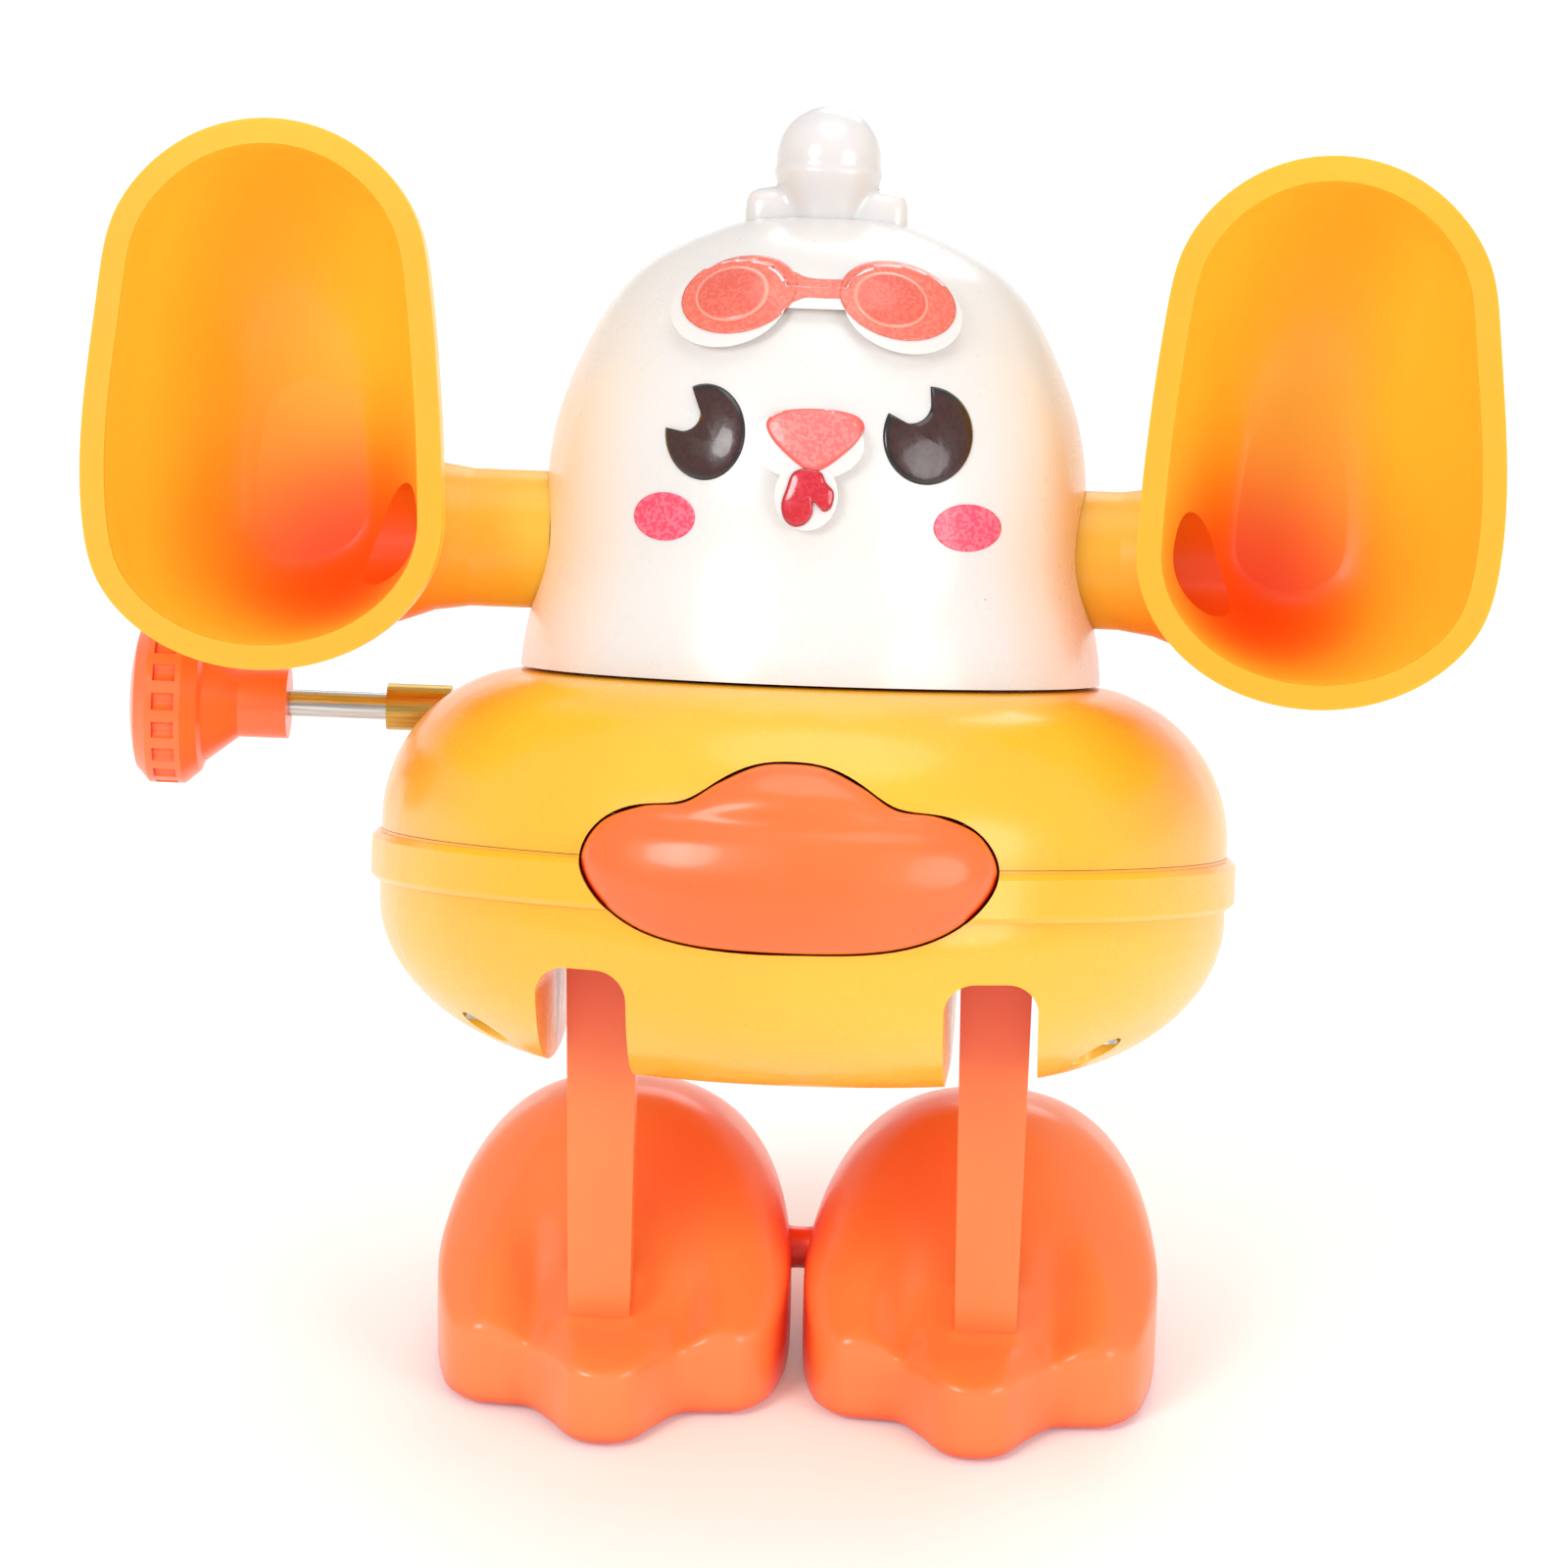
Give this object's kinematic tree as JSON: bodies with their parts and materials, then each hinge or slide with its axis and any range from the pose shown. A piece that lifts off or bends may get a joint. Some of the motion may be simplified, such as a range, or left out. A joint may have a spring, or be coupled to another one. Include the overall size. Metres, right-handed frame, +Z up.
{
  "type": "wind-up hopping chicken",
  "caption": "Wind-up chick in a duck swim ring: bell head, scoop arms on a cross axle, side winding knob, joined webbed feet that kick to hop",
  "frame": {"origin": "on the ground under the toy, in its plane of symmetry and midway along its depth", "axes": "+Z up, the toy faces -Y, +X to the viewer's right when the toy faces the viewer; all shafts along X"},
  "size_m": [0.1184, 0.0725, 0.1145],
  "materials": {
    "white_plastic": "glossy moulded, faintly translucent",
    "comb_plastic": "glossy moulded, translucent",
    "yellow_plastic": "glossy moulded",
    "orange_plastic": "satin gloss, moulded",
    "gear_plastic": "moulded acetal",
    "polished_steel": "polished rod",
    "spring_steel": "blued strip",
    "screw_steel": "zinc plated",
    "brass": "turned"
  },
  "bodies": {
    "body": {"ring_upper": "yellow_plastic", "ring_lower": "yellow_plastic", "ring_screws": "screw_steel", "bill": "orange_plastic", "head_front": "white_plastic", "head_rear": "white_plastic", "head_screws": "screw_steel", "comb": "comb_plastic", "stem_bush": "brass", "mainspring": "spring_steel", "left_motor_plate": "gear_plastic", "right_motor_plate": "gear_plastic", "motor_pillars": "polished_steel", "motor_screws": "screw_steel", "pallet_pin": "polished_steel", "arm_axle_collars": "gear_plastic"},
    "arms": {"left_arm": "yellow_plastic", "right_arm": "yellow_plastic", "arm_axle": "polished_steel"},
    "great_wheel": {"great_wheel": "gear_plastic", "pawl_post": "polished_steel"},
    "winding": {"winding_knob": "orange_plastic", "winding_stem": "polished_steel", "ratchet_wheel": "gear_plastic"},
    "pawl": {"pawl": "gear_plastic"},
    "crank": {"crank_arbor": "polished_steel", "crank_pinion": "gear_plastic", "crank_wheel": "gear_plastic", "crank_disc": "gear_plastic"},
    "escapement": {"escape_arbor": "polished_steel", "escape_wheel": "gear_plastic"},
    "pallet": {"pallet": "brass"},
    "legs": {"leg_axle": "polished_steel", "leg_yoke": "gear_plastic", "left_leg": "orange_plastic", "right_leg": "orange_plastic", "feet": "orange_plastic", "left_sole": "orange_plastic", "right_sole": "orange_plastic"}
  },
  "joints": [
    {"name": "arms_swing", "type": "hinge", "parent": "body", "child": "arms", "pos_m": [0, 0.01107, 0.07639], "axis": [1, 0, 0], "range_deg": [-80, 10]},
    {"name": "train_turn", "type": "hinge", "parent": "body", "child": "great_wheel", "pos_m": [0, 0.01195, 0.05986], "axis": [1, 0, 0], "continuous": true},
    {"name": "winding_turn", "type": "hinge", "parent": "great_wheel", "child": "winding", "pos_m": [0, 0.01195, 0.05986], "axis": [1, 0, 0], "continuous": true},
    {"name": "pawl_lift", "type": "hinge", "parent": "great_wheel", "child": "pawl", "pos_m": [0, 0.01822, 0.06378], "axis": [1, 0, 0], "range_deg": [0, 12], "stiffness_Nm_per_rad": 0.0005},
    {"name": "crank_turn", "type": "hinge", "parent": "body", "child": "crank", "pos_m": [0, 0.00089, 0.05519], "axis": [1, 0, 0], "continuous": true},
    {"name": "escape_turn", "type": "hinge", "parent": "body", "child": "escapement", "pos_m": [0, -0.0033, 0.06141], "axis": [1, 0, 0], "continuous": true},
    {"name": "pallet_rock", "type": "hinge", "parent": "body", "child": "pallet", "pos_m": [0, -0.00128, 0.06642], "axis": [1, 0, 0], "range_deg": [-6, 6]},
    {"name": "legs_kick", "type": "hinge", "parent": "body", "child": "legs", "pos_m": [0, -0.0008, 0.047], "axis": [1, 0, 0], "range_deg": [-12, 12]}
  ],
  "couplings": [
    {"joint": "crank_turn", "follows": "train_turn", "ratio": -3},
    {"joint": "escape_turn", "follows": "train_turn", "ratio": 6}
  ]
}
